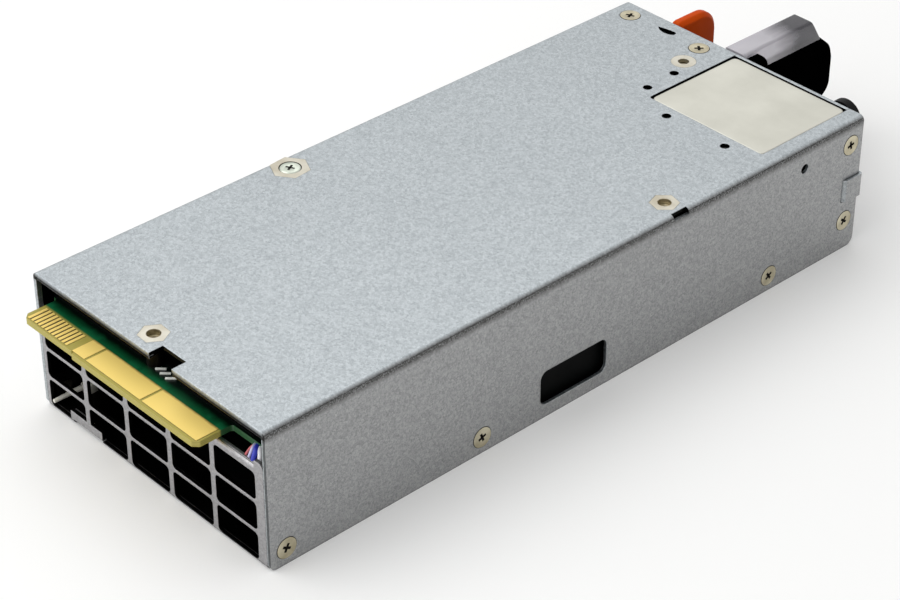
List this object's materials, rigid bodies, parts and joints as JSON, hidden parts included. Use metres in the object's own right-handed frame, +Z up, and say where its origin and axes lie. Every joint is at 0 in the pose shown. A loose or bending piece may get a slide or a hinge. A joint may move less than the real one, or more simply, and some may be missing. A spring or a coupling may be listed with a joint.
{
  "type": "hot swap server power supply",
  "caption": "Slide-in server power supply: folded steel case, punched front grille, gold card-edge output, rear fan vent, mains inlet, loop handle and squeeze latch.",
  "frame": {"origin": "centre of the case's flat underside", "axes": "+Z up, square to the underside; +Y from the card edge towards the handle, along the unit's longest side; +X to the right when looking along +Y"},
  "size_m": [0.0884, 0.2483, 0.0391],
  "materials": {
    "galvanised_sheet": "galvanised, fine spangle, matt",
    "grille_sheet": "galvanised, satin grey",
    "nickel_screw": "nickel plated, satin",
    "clinch_steel": "plated, satin",
    "board_laminate": "green solder mask over glass laminate, bare yellow edge",
    "gold_contact": "gold plated, polished",
    "can_tinplate": "tin plated, satin",
    "black_plastic": "moulded, fine texture",
    "blade_metal": "nickel plated",
    "fan_plastic": "moulded",
    "spring_steel": "rolled, satin",
    "latch_orange": "moulded, satin",
    "handle_black": "moulded, satin",
    "smoky_clear": "moulded clear plastic with a smoky tint",
    "light_green": "clear green lens",
    "liner_black": "smooth film",
    "rod_grey": "moulded",
    "lead_insulation": "extruded",
    "plug_white": "moulded",
    "capacitor_sleeve": "shrunk sleeve",
    "copper_winding": "enamelled copper",
    "ferrite": "sintered",
    "winding_tape": "film tape",
    "moulded_black": "moulded epoxy",
    "sink_aluminium": "extruded",
    "fuse_body": "glazed",
    "control_green": "solder mask",
    "block_grey": "moulded"
  },
  "bodies": {
    "case": {"chassis": "galvanised_sheet", "base_cover": "grille_sheet", "rear_panel": "galvanised_sheet", "side_screws": "nickel_screw", "top_screws": "nickel_screw", "hex_standoffs": "clinch_steel", "standoff_screw": "nickel_screw", "board_screws": "nickel_screw", "round_insert": "clinch_steel", "main_board": "board_laminate", "signal_contacts": "gold_contact", "power_contacts": "gold_contact", "ac_inlet": "black_plastic", "inlet_blades": "blade_metal", "inlet_filter_can": "can_tinplate", "fan_frame": "fan_plastic", "fan_bracket": "galvanised_sheet", "fan_screws": "nickel_screw", "fan_leads": "lead_insulation", "fan_plug": "plug_white", "latch_mount": "spring_steel", "latch_pin": "nickel_screw", "latch_spring": "spring_steel", "handle": "handle_black", "handle_light_guide": "smoky_clear", "handle_screws": "nickel_screw", "status_light": "light_green", "strap_post": "black_plastic", "insulating_liner": "liner_black", "guide_rod": "rod_grey", "front_wires": "lead_insulation", "front_plug": "plug_white", "bulk_capacitors": "capacitor_sleeve", "pfc_choke": "copper_winding", "line_choke": "copper_winding", "output_inductor": "copper_winding", "bridge_rectifier": "moulded_black", "fuse": "fuse_body", "transformer_core": "ferrite", "transformer_winding": "winding_tape", "resonant_choke": "winding_tape", "primary_heat_sink": "sink_aluminium", "power_transistors": "moulded_black", "control_board": "control_green", "output_capacitors": "capacitor_sleeve", "rectifier_heat_sinks": "sink_aluminium", "front_block": "block_grey"},
    "rotor": {"fan_rotor": "fan_plastic"},
    "latch": {"latch_lever": "spring_steel", "latch_tab": "latch_orange"}
  },
  "joints": [
    {"name": "fan_spin", "type": "hinge", "parent": "case", "child": "rotor", "pos_m": [-0.0192, 0.0686, 0.019], "axis": [0, 1, 0], "continuous": true},
    {"name": "latch_press", "type": "hinge", "parent": "case", "child": "latch", "pos_m": [-0.0388, 0.05, 0.019], "axis": [0, 0, -1], "range_deg": [0, 3.5], "stiffness_Nm_per_rad": 3, "springref_deg": -1.72}
  ]
}
